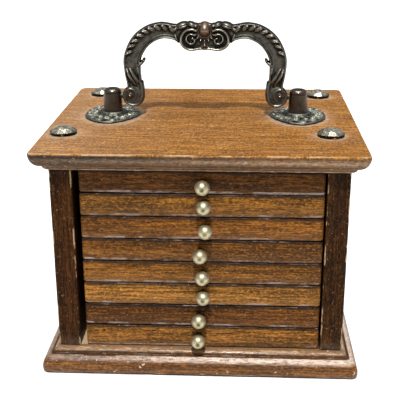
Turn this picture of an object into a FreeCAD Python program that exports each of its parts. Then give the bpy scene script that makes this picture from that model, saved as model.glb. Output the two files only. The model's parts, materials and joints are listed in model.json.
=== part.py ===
import FreeCAD
import Part
import Sketcher

import math
import os
import re

from FreeCAD import Rotation, Vector

# A small hardwood case, open at the front, that holds a stack of shallow trays.
# Frame: origin at the bottom centre, +Z up, the open front faces -Y, millimetres.

TRAY_COUNT = 8

# Each driving dimension: its name, its value and what it measures.
SIZES = [
    ("overall_width", 120.0, "width of the two moulded boards"),
    ("overall_depth", 108.0, "depth of the two moulded boards"),
    ("overall_height", 87.5, "floor to the upper face of the top board"),
    ("top_board_thickness", 7.6, "whole thickness with its band"),
    ("base_board_thickness", 8.2, "whole thickness with its band"),
    ("felt_thickness", 0.6, "felt under the base board"),
    ("felt_inset", 2.0, "felt edge to board edge"),
    ("ovolo_radius", 3.8, "quarter round of the board moulding"),
    ("moulding_step", 0.3, "flat between the quarter round and the band"),
    ("band_height", 2.0, "raised band that the case stands on or under"),
    ("board_arris", 0.8, "worn outer arris of a board"),
    ("board_corner_radius", 1.8, "rounded corner of a board in plan"),
    ("side_reveal", 1.9, "band beside a side panel"),
    ("front_reveal", 2.5, "band in front of a side panel"),
    ("rear_reveal", 2.3, "band behind a side panel"),
    ("side_panel_thickness", 8.25, ""),
    ("side_panel_arris", 0.5, "rounded upright edges of a side panel"),
    ("back_panel_thickness", 5.0, ""),
    ("tray_gap", 0.3, "running gap above and below each tray"),
    ("tray_gap_left", 2.3, "play beside the trays on the left"),
    ("tray_gap_right", 0.6, "play beside the trays on the right"),
    ("tray_setback", 0.5, "tray front behind the panel fronts"),
    ("tray_back_gap", 0.9, "tray back to back panel"),
    ("tray_rim", 6.0, "rim around the recess of a tray"),
    ("tray_floor", 2.3, "wood under the recess of a tray"),
    ("tray_corner_radius", 1.3, "rounded corner of a tray in plan"),
    ("tray_arris", 0.6, "rounded long edges of a tray"),
    ("recess_corner_radius", 6.0, "routed corner of the recess"),
    ("liner_thickness", 1.0, "cork sheet in a tray"),
    ("liner_clearance", 0.2, "cork edge to recess wall"),
    ("knob_diameter", 5.2, "ball of a tray knob"),
    ("knob_projection", 7.0, "knob front to tray front"),
    ("knob_collar_diameter", 3.4, "foot of a knob against the tray"),
    ("knob_collar_length", 0.7, ""),
    ("knob_neck_diameter", 2.4, ""),
    ("knob_shank_diameter", 1.8, "shank driven into the tray rim"),
    ("knob_shank_length", 4.4, ""),
    ("knob_offset_1", -1.2, "knob to the middle of the lowest tray, sideways"),
    ("knob_offset_2", -0.9, "hand-drilled, so each tray has its own"),
    ("knob_offset_3", 0.7, ""),
    ("knob_offset_4", 0.4, ""),
    ("knob_offset_5", -0.4, ""),
    ("knob_offset_6", 1.5, ""),
    ("knob_offset_7", 0.9, ""),
    ("knob_offset_8", 0.5, ""),
    ("knob_rise_1", 0.1, "knob above the middle of the lowest tray"),
    ("knob_rise_2", -0.3, ""),
    ("knob_rise_3", 0.5, ""),
    ("knob_rise_4", -0.3, ""),
    ("knob_rise_5", -0.5, ""),
    ("knob_rise_6", 0.3, ""),
    ("knob_rise_7", 0.7, ""),
    ("knob_rise_8", -0.7, ""),
    ("panel_screw_inset", 20.0, "base screw to the end of a side panel"),
    ("panel_screw_head_diameter", 6.0, ""),
    ("panel_screw_head_height", 2.2, ""),
    ("panel_screw_diameter", 3.0, ""),
    ("panel_screw_length", 19.0, "head to point"),
    ("post_spacing", 75.0, "post to post"),
    ("post_set", 3.0, "posts behind the middle of the top board"),
    ("post_foot_diameter", 7.3, ""),
    ("post_head_diameter", 6.4, ""),
    ("post_dome_radius", 1.7, "rounded head of a post"),
    ("post_top", 11.0, "post head above the top board"),
    ("post_screw_diameter", 3.5, ""),
    ("post_screw_head_diameter", 6.8, ""),
    ("post_screw_head_height", 2.0, ""),
    ("post_screw_grip", 4.2, "thread inside a post"),
    ("rosette_width", 22.8, "across the case"),
    ("rosette_length", 31.0, "front to back"),
    ("rosette_thickness", 1.3, "cast plate at its rim"),
    ("rosette_collar_diameter", 10.4, "raised seat under the post"),
    ("rosette_collar_height", 0.7, ""),
    ("pivot_height", 8.0, "bail pivot above the top board"),
    ("pivot_pin_diameter", 2.4, ""),
    ("pivot_pin_depth", 2.0, "pin inside its post"),
    ("pivot_pin_fit", 0.05, "radial clearance of the pin"),
    ("pivot_pin_end_gap", 0.3, "pin end to the bottom of its hole"),
    ("bail_post_gap", 0.4, "bail foot to post"),
    ("bail_rise", 30.1, "pivot to the crown of the bail"),
    ("bail_thickness", 5.6, "front to back"),
    ("bail_foot_radius", 4.6, "scroll that the pin leaves"),
    ("bail_chamfer", 0.8, ""),
    ("spur_foot_diameter", 3.2, "leaf tip inside the arm of the bail"),
    ("spur_tip_diameter", 1.0, ""),
    ("spur_length", 3.0, ""),
    ("boss_width", 7.6, "central boss of the bail"),
    ("boss_height", 8.4, ""),
    ("boss_depth", 7.6, ""),
    ("stud_diameter", 10.2, "domed nail heads on the top board"),
    ("stud_dome_height", 2.6, ""),
    ("stud_wall", 0.7, ""),
    ("stud_lift", 0.7, "rim of a nail head above the board"),
    ("stud_shank_diameter", 1.6, ""),
    ("stud_shank_length", 17.0, "below the board face"),
    ("stud_left_front_shift", -2.1, "nail head to the middle of its panel, set by eye"),
    ("stud_right_front_shift", -1.7, ""),
    ("stud_left_rear_shift", 2.1, ""),
    ("stud_right_rear_shift", -1.3, ""),
    ("stud_left_front_inset", 20.2, "nail head to the near end of its panel"),
    ("stud_right_front_inset", 20.4, ""),
    ("stud_left_rear_inset", 8.2, ""),
    ("stud_right_rear_inset", 9.0, ""),
]

# What follows from the driving dimensions.
DERIVED = {
    "moulding_inset": "ovolo_radius + moulding_step",
    "base_top": "felt_thickness + base_board_thickness",
    "case_height": "overall_height - top_board_thickness - base_top",
    "case_width": "overall_width - 2 * moulding_inset - 2 * side_reveal",
    "case_front": "moulding_inset + front_reveal - overall_depth / 2",
    "panel_depth": "overall_depth - 2 * moulding_inset - front_reveal - rear_reveal",
    "panel_middle_x": "case_width / 2 - side_panel_thickness / 2",
    "panel_middle_y": "case_front + panel_depth / 2",
    "bay_width": "case_width - 2 * side_panel_thickness",
    "tray_width": "bay_width - tray_gap_left - tray_gap_right",
    "tray_depth": "panel_depth - back_panel_thickness - tray_setback - tray_back_gap",
    "tray_height": "(case_height - tray_gap) / %d - tray_gap" % TRAY_COUNT,
    "tray_pitch": "tray_height + tray_gap",
    "tray_middle_x": "(tray_gap_left - tray_gap_right) / 2",
    "tray_front": "case_front + tray_setback",
    "recess_width": "tray_width - 2 * tray_rim",
    "recess_depth": "tray_depth - 2 * tray_rim",
    "rosette_height": "rosette_thickness + rosette_collar_height",
    "dome_radius": "(stud_diameter * stud_diameter / 4 + stud_dome_height * stud_dome_height)"
                   " / (2 * stud_dome_height)",
}

SIDES = (("left", "-1"), ("right", "1"))
ENDS = ("front", "rear")

document = FreeCAD.newDocument("tray_case")
sheet = document.addObject("Spreadsheet::Sheet", "Sizes")


def fill_sheet():
    for row, (name, value, note) in enumerate(SIZES, start=1):
        sheet.set("A%d" % row, name)
        sheet.set("B%d" % row, "%g" % value)
        sheet.set("C%d" % row, note)
        sheet.setAlias("B%d" % row, name)
    document.recompute()


def bound(formula):
    """Spell a formula of named sizes out as an expression on the sheet."""

    def spell(match):
        word = match.group(0)
        if word in DERIVED:
            return "(" + bound(DERIVED[word]) + ")"
        return "Sizes." + word

    return re.sub(r"[a-z][a-z0-9_]*", spell, formula)


def measure(name):
    """The value of one driving dimension, for shapes made in code."""
    return float(sheet.get(name))


def bind(thing, **formulas):
    """Tie properties of an object to formulas of named sizes."""
    for prop, formula in formulas.items():
        thing.setExpression(prop.replace("__", "."), bound(formula))


def place(thing, x="0", y="0", z="0"):
    bind(thing, Placement__Base__x=x, Placement__Base__y=y, Placement__Base__z=z)


# ---- bodies, sketches and features ----------------------------------------------


def new_body(label):
    body = document.addObject("PartDesign::Body", label)
    body.Label = label
    return body


def new_sketch(body, name, plane="XY_Plane", lift="0"):
    sketch = body.newObject("Sketcher::SketchObject", body.Label + "_" + name)
    planes = [item for item in body.Origin.OriginFeatures if item.Role == plane]
    sketch.AttachmentSupport = (planes[0], [""])
    sketch.MapMode = "FlatFace"
    bind(sketch, AttachmentOffset__Base__z=lift)
    return sketch


def dimension(sketch, kind, name, formula, *where):
    """Add a named dimensional constraint, bound to the sheet."""
    index = sketch.addConstraint(Sketcher.Constraint(kind, *where))
    sketch.renameConstraint(index, name)
    sketch.setExpression("Constraints." + name, bound(formula))


def add_rectangle(sketch, width, depth, tag=""):
    """A rectangle centred on the sketch's origin."""
    corners = [Vector(-1, -1, 0), Vector(1, -1, 0), Vector(1, 1, 0), Vector(-1, 1, 0)]
    first = sketch.GeometryCount
    for index in range(4):
        sketch.addGeometry(Part.LineSegment(corners[index], corners[(index + 1) % 4]))
    for index in range(4):
        follower = first + (index + 1) % 4
        sketch.addConstraint(Sketcher.Constraint("Coincident", first + index, 2, follower, 1))
        direction = "Vertical" if index % 2 else "Horizontal"
        sketch.addConstraint(Sketcher.Constraint(direction, first + index))
    sketch.addConstraint(Sketcher.Constraint("Symmetric", first, 1, first + 1, 2, -1, 1))
    dimension(sketch, "DistanceX", "width" + tag, width, first, 1, first, 2, 2.0)
    dimension(sketch, "DistanceY", "depth" + tag, depth, first + 1, 1, first + 1, 2, 2.0)


def add_rounded_rectangle(sketch, width, depth, radius):
    """A rounded rectangle centred on the sketch's origin."""
    first = sketch.GeometryCount
    reach = 50.0
    bend = 2.0
    straight = reach - bend
    turns = [(-90, 0, 1, -1), (0, 90, 1, 1), (90, 180, -1, 1), (180, 270, -1, -1)]
    ends = []
    for start, stop, side_x, side_y in turns:
        centre = Vector(side_x * straight, side_y * straight, 0)
        circle = Part.Circle(centre, Vector(0, 0, 1), bend)
        arc = Part.ArcOfCircle(circle, math.radians(start), math.radians(stop))
        sketch.addGeometry(arc)
        ends.append((arc.StartPoint, arc.EndPoint))
    for index in range(4):
        sketch.addGeometry(Part.LineSegment(ends[index][1], ends[(index + 1) % 4][0]))
    for index in range(4):
        arc = first + index
        line = first + 4 + index
        next_arc = first + (index + 1) % 4
        sketch.addConstraint(Sketcher.Constraint("Tangent", arc, 2, line, 1))
        sketch.addConstraint(Sketcher.Constraint("Tangent", line, 2, next_arc, 1))
        direction = "Horizontal" if index % 2 else "Vertical"
        sketch.addConstraint(Sketcher.Constraint(direction, line))
    for index in range(1, 4):
        sketch.addConstraint(Sketcher.Constraint("Equal", first, first + index))
    right, back, left, front = range(first + 4, first + 8)
    dimension(sketch, "Radius", "bend", radius, first, bend)
    dimension(sketch, "DistanceX", "bend_width", width, left, 1, right, 1, 2 * reach)
    dimension(sketch, "DistanceY", "bend_depth", depth, front, 1, back, 1, 2 * reach)
    dimension(sketch, "DistanceX", "half_width", "(%s) / 2" % width, -1, 1, right, 1, reach)
    dimension(sketch, "DistanceY", "half_depth", "(%s) / 2" % depth, -1, 1, back, 1, reach)


def add_circle(sketch, name, diameter, x, y):
    """A circle by its centre; its place may be on either side of the axes."""
    circle = sketch.addGeometry(Part.Circle(Vector(0, 0, 0), Vector(0, 0, 1), 1))
    dimension(sketch, "Diameter", "diameter_" + name, diameter, circle, 2.0)
    dimension(sketch, "DistanceX", "x_" + name, x, -1, 1, circle, 3, 1.0)
    dimension(sketch, "DistanceY", "y_" + name, y, -1, 1, circle, 3, 1.0)


def pad(sketch, length):
    body = sketch.getParentGeoFeatureGroup()
    feature = body.newObject("PartDesign::Pad", sketch.Name + "_pad")
    feature.Profile = sketch
    bind(feature, Length=length)
    document.recompute()
    return feature


def pocket(sketch, length, reversed_cut=False):
    """Cut a sketch into its body, and make sure that it removed something."""
    body = sketch.getParentGeoFeatureGroup()
    before = body.Shape.Volume
    feature = body.newObject("PartDesign::Pocket", sketch.Name + "_pocket")
    feature.Profile = sketch
    feature.Reversed = reversed_cut
    bind(feature, Length=length)
    document.recompute()
    if not feature.Shape.Volume < before - 0.01:
        raise RuntimeError("%s cuts nothing" % feature.Name)
    return feature


def edges_where(feature, test):
    """Names of the edges whose bounding box passes a test."""
    edges = feature.Shape.Edges
    return ["Edge%d" % index for index, edge in enumerate(edges, start=1) if test(edge.BoundBox)]


def is_upright(span):
    return span.ZLength > 0.1 and span.XLength < 1e-6 and span.YLength < 1e-6


def lies_at(height):
    return lambda span: abs(span.ZMin - height) < 1e-6 and abs(span.ZMax - height) < 1e-6


def round_edges(feature, names, radius):
    body = feature.getParentGeoFeatureGroup()
    rounding = body.newObject("PartDesign::Fillet", feature.Name + "_round")
    rounding.Base = (feature, names)
    bind(rounding, Radius=radius)
    document.recompute()
    return rounding


def cut_cone(body, name, wide, narrow, height, x, y, z="0"):
    """A countersink whose wide end is at z and narrows upwards."""
    cone = body.newObject("PartDesign::SubtractiveCone", body.Label + "_" + name)
    bind(cone, Radius1=wide + " / 2", Radius2=narrow + " / 2", Height=height)
    place(cone, x, y, z)
    document.recompute()
    return cone


# ---- the case ---------------------------------------------------------------


def moulded_board(label, thickness):
    """A board with an ovolo and a band; its outer face is at z = 0."""
    body = new_body(label)
    outline = new_sketch(body, "outline")
    add_rectangle(outline, "overall_width", "overall_depth")
    slab = pad(outline, thickness + " - band_height")
    inner_face = slab.Shape.BoundBox.ZMax
    round_edges(slab, edges_where(slab, lies_at(inner_face)), "ovolo_radius")

    # The corners are rounded in plan after the moulding has been run along the edges.
    offcut = new_sketch(body, "corners")
    add_rectangle(offcut, "2 * overall_width", "2 * overall_depth")
    add_rounded_rectangle(offcut, "overall_width", "overall_depth", "board_corner_radius")
    corners = pocket(offcut, thickness, reversed_cut=True)
    round_edges(corners, edges_where(corners, lies_at(0)), "board_arris")

    band = new_sketch(body, "band", lift=thickness + " - band_height")
    add_rectangle(band, "overall_width - 2 * moulding_inset", "overall_depth - 2 * moulding_inset")
    raised = pad(band, "band_height")
    round_edges(raised, edges_where(raised, is_upright), "board_corner_radius / 2")
    return body


def from_end(end, inset):
    """How far back a point is that lies inset from the front or rear end of the panels."""
    if end == "front":
        return "case_front + " + inset
    return "case_front + panel_depth - " + inset


def panel_screw_places():
    """Plan positions of the screws that hold the side panels to the base board."""
    for side, sign in SIDES:
        for end in ENDS:
            yield side + "_" + end, sign + " * panel_middle_x", from_end(end, "panel_screw_inset")


def stud_places():
    """Plan positions of the nails that hold the top board to the side panels."""
    for side, sign in SIDES:
        for end in ENDS:
            name = side + "_" + end
            x = "%s * panel_middle_x + stud_%s_shift" % (sign, name)
            yield name, x, from_end(end, "stud_%s_inset" % name)


def make_base_board():
    body = moulded_board("base_board", "base_board_thickness")
    holes = new_sketch(body, "screw_holes")
    for name, x, y in panel_screw_places():
        add_circle(holes, name, "panel_screw_diameter", x, y)
    pocket(holes, "base_board_thickness", reversed_cut=True)
    for name, x, y in panel_screw_places():
        cut_cone(body, "sink_" + name, "panel_screw_head_diameter", "panel_screw_diameter",
                 "panel_screw_head_height", x, y)
    place(body, z="felt_thickness")


def make_top_board():
    """The same moulding turned over, bored for the posts' screws and the nails."""
    body = moulded_board("top_board", "top_board_thickness")
    holes = new_sketch(body, "post_screw_holes")
    nails = new_sketch(body, "nail_holes")
    for side, sign in SIDES:
        add_circle(holes, side, "post_screw_diameter", sign + " * post_spacing / 2", "0 - post_set")
    for name, x, y in stud_places():
        add_circle(nails, name, "stud_shank_diameter", x, "0 - (%s)" % y)
    pocket(holes, "top_board_thickness", reversed_cut=True)
    pocket(nails, "top_board_thickness", reversed_cut=True)
    for side, sign in SIDES:
        cut_cone(body, "sink_" + side, "post_screw_diameter", "post_screw_head_diameter",
                 "post_screw_head_height", sign + " * post_spacing / 2", "0 - post_set",
                 "top_board_thickness - post_screw_head_height")
    body.Placement.Rotation = Rotation(Vector(1, 0, 0), 180)
    place(body, z="overall_height")


def make_side_panel(side, sign):
    body = new_body("side_panel_" + side)
    outline = new_sketch(body, "outline")
    add_rectangle(outline, "side_panel_thickness", "panel_depth")
    blank = pad(outline, "case_height")
    round_edges(blank, edges_where(blank, is_upright), "side_panel_arris")

    screws = new_sketch(body, "screw_holes")
    nails = new_sketch(body, "nail_holes", lift="case_height")
    local = "(%s) - (" + sign + " * panel_middle_x)"
    for name, x, y in panel_screw_places():
        if name.startswith(side):
            add_circle(screws, name, "panel_screw_diameter", local % x, y + " - panel_middle_y")
    for name, x, y in stud_places():
        if name.startswith(side):
            add_circle(nails, name, "stud_shank_diameter", local % x, y + " - panel_middle_y")
    pocket(screws, "panel_screw_length - base_board_thickness", reversed_cut=True)
    pocket(nails, "stud_shank_length - top_board_thickness")
    place(body, sign + " * panel_middle_x", "panel_middle_y", "base_top")


def make_back_panel():
    body = new_body("back_panel")
    outline = new_sketch(body, "outline")
    add_rectangle(outline, "bay_width", "back_panel_thickness")
    pad(outline, "case_height")
    place(body, "0", "case_front + panel_depth - back_panel_thickness / 2", "base_top")


def make_base_felt():
    body = new_body("base_felt")
    outline = new_sketch(body, "outline")
    add_rectangle(outline, "overall_width - 2 * felt_inset", "overall_depth - 2 * felt_inset")
    pad(outline, "felt_thickness")


# ---- the trays --------------------------------------------------------------


def tray_level(number):
    return "base_top + tray_gap + %d * tray_pitch" % (number - 1)


def make_tray(number):
    """A tray routed from one board, bored at the front for its knob."""
    body = new_body("tray_%d" % number)
    outline = new_sketch(body, "outline")
    add_rectangle(outline, "tray_width", "tray_depth")
    blank = pad(outline, "tray_height")
    corners = round_edges(blank, edges_where(blank, is_upright), "tray_corner_radius")
    top = corners.Shape.BoundBox.ZMax
    rims = edges_where(corners, lies_at(0)) + edges_where(corners, lies_at(top))
    round_edges(corners, rims, "tray_arris")

    recess = new_sketch(body, "recess", lift="tray_height")
    add_rounded_rectangle(recess, "recess_width", "recess_depth", "recess_corner_radius")
    pocket(recess, "tray_height - tray_floor")

    bore = new_sketch(body, "knob_bore", plane="XZ_Plane", lift="tray_depth / 2")
    height = "tray_height / 2 + knob_rise_%d" % number
    add_circle(bore, "knob", "knob_shank_diameter", "knob_offset_%d" % number, height)
    pocket(bore, "knob_shank_length")
    place(body, "tray_middle_x", "tray_front + tray_depth / 2", tray_level(number))


def make_tray_liner(number):
    body = new_body("tray_liner_%d" % number)
    outline = new_sketch(body, "outline")
    add_rounded_rectangle(outline, "recess_width - 2 * liner_clearance", "recess_depth - 2 * liner_clearance",
                          "recess_corner_radius - liner_clearance")
    pad(outline, "liner_thickness")
    place(body, "tray_middle_x", "tray_front + tray_depth / 2", tray_level(number) + " + tray_floor")


def fused(label, pieces):
    """One solid from touching or overlapping Part primitives."""
    union = document.addObject("Part::MultiFuse", label)
    union.Label = label
    union.Shapes = pieces
    return union


def gathered(label, pieces):
    """Separate solids of the same kind that share one name."""
    group = document.addObject("Part::Compound", label)
    group.Label = label
    group.Links = pieces
    return group


def cylinder(name, diameter, length, x="0", y="0", z="0", turn=None):
    piece = document.addObject("Part::Cylinder", name)
    bind(piece, Radius="(%s) / 2" % diameter, Height=length)
    if turn:
        piece.Placement.Rotation = turn
    place(piece, x, y, z)
    return piece


def cone(name, lower, upper, height, x="0", y="0", z="0"):
    piece = document.addObject("Part::Cone", name)
    bind(piece, Radius1="(%s) / 2" % lower, Radius2="(%s) / 2" % upper, Height=height)
    place(piece, x, y, z)
    return piece


def sphere(name, radius, x="0", y="0", z="0"):
    piece = document.addObject("Part::Sphere", name)
    bind(piece, Radius=radius)
    place(piece, x, y, z)
    return piece


def make_tray_knob(number):
    """A turned ball on a neck and collar, with a shank driven into the tray's rim."""
    label = "tray_knob_%d" % number
    x = "tray_middle_x + knob_offset_%d" % number
    z = tray_level(number) + " + tray_height / 2 + knob_rise_%d" % number
    inwards = Rotation(Vector(1, 0, 0), -90)
    ball_y = "tray_front - knob_projection + knob_diameter / 2"
    fused(label, [
        cylinder(label + "_shank", "knob_shank_diameter", "knob_shank_length", x, "tray_front", z, inwards),
        cylinder(label + "_collar", "knob_collar_diameter", "knob_collar_length",
                 x, "tray_front - knob_collar_length", z, inwards),
        cylinder(label + "_neck", "knob_neck_diameter", "knob_projection - knob_diameter / 2",
                 x, ball_y, z, inwards),
        sphere(label + "_ball", "knob_diameter / 2", x, ball_y, z),
    ])


# ---- fasteners and hardware -------------------------------------------------


def make_base_screws():
    """Countersunk wood screws, up through the base board into the side panels."""
    screws = []
    for name, x, y in panel_screw_places():
        label = "base_screw_" + name
        screws.append(fused(label, [
            cone(label + "_head", "panel_screw_head_diameter", "panel_screw_diameter",
                 "panel_screw_head_height", x, y, "felt_thickness"),
            cylinder(label + "_shank", "panel_screw_diameter", "panel_screw_length", x, y, "felt_thickness"),
        ]))
    gathered("base_screws", screws)


def make_corner_studs():
    """Hollow domed nail heads whose shanks fasten the top board to the side panels."""
    studs = []
    rim = "(overall_height + stud_lift)"
    for name, x, y in stud_places():
        label = "stud_" + name
        outer = sphere(label + "_outer", "dome_radius", x, y, rim + " + stud_dome_height - dome_radius")
        limit = cylinder(label + "_limit", "stud_diameter", "stud_dome_height", x, y, rim)
        dome = document.addObject("Part::Common", label + "_dome")
        dome.Base = outer
        dome.Tool = limit
        hollow = sphere(label + "_hollow", "dome_radius - stud_wall", x, y,
                        rim + " + stud_dome_height - dome_radius")
        cap = document.addObject("Part::Cut", label + "_cap")
        cap.Base = dome
        cap.Tool = hollow
        length = "stud_shank_length + stud_lift + stud_dome_height - stud_wall / 2"
        shank = cylinder(label + "_shank", "stud_shank_diameter", length, x, y,
                         "overall_height - stud_shank_length")
        studs.append(fused(label, [cap, shank]))
    gathered("corner_studs", studs)


def make_post_screws():
    """Countersunk machine screws, up through the top board and rosettes into the posts."""
    screws = []
    head_face = "overall_height - top_board_thickness"
    for side, sign in SIDES:
        label = "post_screw_" + side
        x = sign + " * post_spacing / 2"
        length = "top_board_thickness + rosette_height + post_screw_grip"
        screws.append(fused(label, [
            cone(label + "_head", "post_screw_head_diameter", "post_screw_diameter",
                 "post_screw_head_height", x, "post_set", head_face),
            cylinder(label + "_shank", "post_screw_diameter", length, x, "post_set", head_face),
        ]))
    gathered("post_screws", screws)


def make_handle_post(side, sign):
    """A tapered post, threaded from below, with a blind hole for the bail's pin."""
    body = new_body("handle_post_" + side)
    height = "post_top - rosette_height"
    shaft = body.newObject("PartDesign::AdditiveCone", body.Label + "_shaft")
    bind(shaft, Radius1="post_foot_diameter / 2", Radius2="post_head_diameter / 2", Height=height)
    document.recompute()
    head = edges_where(shaft, lies_at(shaft.Shape.BoundBox.ZMax))
    round_edges(shaft, head, "post_dome_radius")

    thread = body.newObject("PartDesign::SubtractiveCylinder", body.Label + "_thread")
    bind(thread, Radius="post_screw_diameter / 2", Height="post_screw_grip")
    document.recompute()

    inward = -int(sign)
    hole = body.newObject("PartDesign::SubtractiveCylinder", body.Label + "_pin_hole")
    hole_bottom = "post_foot_diameter / 2 - pivot_pin_depth - pivot_pin_end_gap"
    bind(hole, Radius="pivot_pin_diameter / 2 + pivot_pin_fit", Height="post_foot_diameter")
    hole.Placement.Rotation = Rotation(Vector(0, 1, 0), 90 * inward)
    place(hole, "(%s) * %d" % (hole_bottom, inward), "0", "pivot_height - rosette_height")
    document.recompute()
    place(body, sign + " * post_spacing / 2", "post_set", "overall_height + rosette_height")


def make_rosette(side, outward):
    """A cast oval plate with a pointed inner end and a raised seat for its post."""
    half_width = measure("rosette_width") / 2
    half_length = measure("rosette_length") / 2
    thickness = measure("rosette_thickness")
    seat_height = thickness + measure("rosette_collar_height")

    def point(across, along):
        return Vector(outward * across * half_width, along * half_length, 0)

    def edge(along):
        """From the round outer end, past the side, to the point of the inner end."""
        shape = [(1, 0), (0.74, 0.66), (0.05, 1.0), (-0.62, 0.66), (-1, 0)]
        points = [point(across, along * reach) for across, reach in shape]
        start = Vector(0, along * half_length, 0)
        curve = Part.BSplineCurve()
        curve.interpolate(Points=points, Tangents=[start] * len(points),
                          TangentFlags=[True, False, False, False, False])
        return curve.toShape()

    outline = Part.Face(Part.Wire([edge(1), edge(-1)]))
    plate = outline.extrude(Vector(0, 0, thickness))
    seat = Part.makeCylinder(measure("rosette_collar_diameter") / 2, seat_height)
    bore = Part.makeCylinder(measure("post_screw_diameter") / 2, seat_height)
    rosette = document.addObject("Part::Feature", "rosette_" + side)
    rosette.Label = "rosette_" + side
    rosette.Shape = plate.fuse(seat).cut(bore).removeSplitter()
    place(rosette, "%d * post_spacing / 2" % outward, "post_set", "overall_height")


def bail_half():
    """The right half of the bail about its pivot: x outwards, z up, y through it."""
    span = measure("post_spacing") / 2 - measure("post_foot_diameter") / 2 - measure("bail_post_gap")
    rise = measure("bail_rise")
    thickness = measure("bail_thickness")
    foot_radius = measure("bail_foot_radius")
    foot_x = span - foot_radius

    def spline(shape):
        curve = Part.BSplineCurve()
        curve.interpolate([Vector(x * span, -thickness / 2, z * rise) for x, z in shape])
        return curve

    # The arm swells at the shoulder and narrows to a waist above the foot.
    back = spline([(0, 1.0), (0.34, 0.985), (0.63, 0.955), (0.87, 0.78), (0.975, 0.55), (0.97, 0.33),
                   (0.93, 0.12)])
    belly = spline([(0.745, 0.08), (0.76, 0.3), (0.745, 0.57), (0.66, 0.69), (0.5, 0.75), (0.34, 0.71),
                    (0.19, 0.64), (0, 0.63)])
    crown = Part.makeLine(belly.EndPoint, back.StartPoint)
    ankle = Part.makeLine(back.EndPoint, belly.StartPoint)
    arm = Part.Face(Part.Wire([back.toShape(), ankle, belly.toShape(), crown]))
    arm = arm.extrude(Vector(0, thickness, 0))
    rims = [edge for edge in arm.Edges if edge.BoundBox.YLength < 1e-6 and edge.Length > span / 3]
    arm = arm.makeChamfer(measure("bail_chamfer"), rims)

    foot = Part.makeCylinder(foot_radius, thickness, Vector(foot_x, -thickness / 2, 0), Vector(0, 1, 0))
    foot = foot.makeChamfer(measure("bail_chamfer"), [edge for edge in foot.Edges if edge.Closed])
    pin_length = foot_radius + measure("bail_post_gap") + measure("pivot_pin_depth")
    pin_radius = measure("pivot_pin_diameter") / 2
    pin = Part.makeCylinder(pin_radius, pin_length, Vector(foot_x, 0, 0), Vector(1, 0, 0))
    spur_root = Vector(0.76 * span, 0, 0.42 * rise)
    spur_way = Vector(-0.8, 0, 1)
    spur = Part.makeCone(measure("spur_foot_diameter") / 2, measure("spur_tip_diameter") / 2,
                         measure("spur_length"), spur_root, spur_way)
    return arm.fuse([foot, pin, spur])


def make_bail():
    """The cast bail: two mirrored halves, a boss at the crown and a pin at each foot."""
    half = bail_half()
    boss = Part.makeSphere(0.5)
    stretch = FreeCAD.Matrix()
    stretch.scale(measure("boss_width"), measure("boss_depth"), measure("boss_height"))
    boss = boss.transformGeometry(stretch)
    boss.translate(Vector(0, 0, measure("bail_rise") - measure("boss_height") / 2))
    bail = document.addObject("Part::Feature", "bail")
    bail.Label = "bail"
    bail.Shape = half.fuse([half.mirror(Vector(), Vector(1, 0, 0)), boss]).removeSplitter()
    place(bail, "0", "post_set", "overall_height + pivot_height")


# ---- the whole object -------------------------------------------------------


def check(label):
    pieces = document.getObjectsByLabel(label)
    if len(pieces) != 1:
        raise RuntimeError("%s: %d objects have this label" % (label, len(pieces)))
    shape = pieces[0].Shape
    if shape.isNull() or not shape.isValid() or not shape.Solids:
        raise RuntimeError("%s has no valid solid" % label)
    return shape


def main():
    fill_sheet()
    labels = ["base_felt", "base_board", "top_board", "back_panel"]
    make_base_felt()
    make_base_board()
    make_top_board()
    make_back_panel()
    for number in range(1, TRAY_COUNT + 1):
        make_tray(number)
        make_tray_liner(number)
        make_tray_knob(number)
        labels += ["tray_%d" % number, "tray_liner_%d" % number, "tray_knob_%d" % number]
    make_base_screws()
    make_corner_studs()
    make_post_screws()
    for side, sign in SIDES:
        make_side_panel(side, sign)
        make_handle_post(side, sign)
        make_rosette(side, int(sign))
        labels += ["side_panel_" + side, "handle_post_" + side, "rosette_" + side]
    make_bail()
    labels += ["base_screws", "corner_studs", "post_screws", "bail"]

    document.recompute()
    for item in document.Objects:
        if "Invalid" in item.State or "Error" in item.State:
            raise RuntimeError("%s did not recompute" % item.Name)
    shapes = {label: check(label) for label in labels}
    os.makedirs("parts", exist_ok=True)
    for label, shape in shapes.items():
        shape.exportStep("parts/%s.step" % label)
    print("%d nodes written" % len(shapes))


main()
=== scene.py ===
"""The looks of a small hardwood tray case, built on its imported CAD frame. Lengths are in metres."""

import json
import math
import random

import bpy
import numpy as np
from mathutils import Matrix, Vector, noise


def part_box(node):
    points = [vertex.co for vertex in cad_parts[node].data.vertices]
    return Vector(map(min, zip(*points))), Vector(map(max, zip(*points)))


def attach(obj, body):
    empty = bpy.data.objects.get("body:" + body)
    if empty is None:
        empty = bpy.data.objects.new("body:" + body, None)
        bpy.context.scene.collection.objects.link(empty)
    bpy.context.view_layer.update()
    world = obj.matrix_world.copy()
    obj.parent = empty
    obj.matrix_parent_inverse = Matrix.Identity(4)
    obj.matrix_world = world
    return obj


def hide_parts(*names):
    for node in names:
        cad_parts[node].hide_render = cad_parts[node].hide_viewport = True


MM = 0.001
TRAYS = range(1, 9)

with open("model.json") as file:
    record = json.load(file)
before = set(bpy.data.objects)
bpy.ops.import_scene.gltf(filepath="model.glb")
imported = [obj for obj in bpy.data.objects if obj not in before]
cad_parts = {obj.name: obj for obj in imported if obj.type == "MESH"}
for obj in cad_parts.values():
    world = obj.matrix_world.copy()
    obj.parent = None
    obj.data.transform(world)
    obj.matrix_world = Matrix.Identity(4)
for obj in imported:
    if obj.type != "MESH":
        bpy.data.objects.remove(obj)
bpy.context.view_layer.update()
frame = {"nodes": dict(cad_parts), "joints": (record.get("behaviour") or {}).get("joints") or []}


# ---- node materials ----


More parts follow.
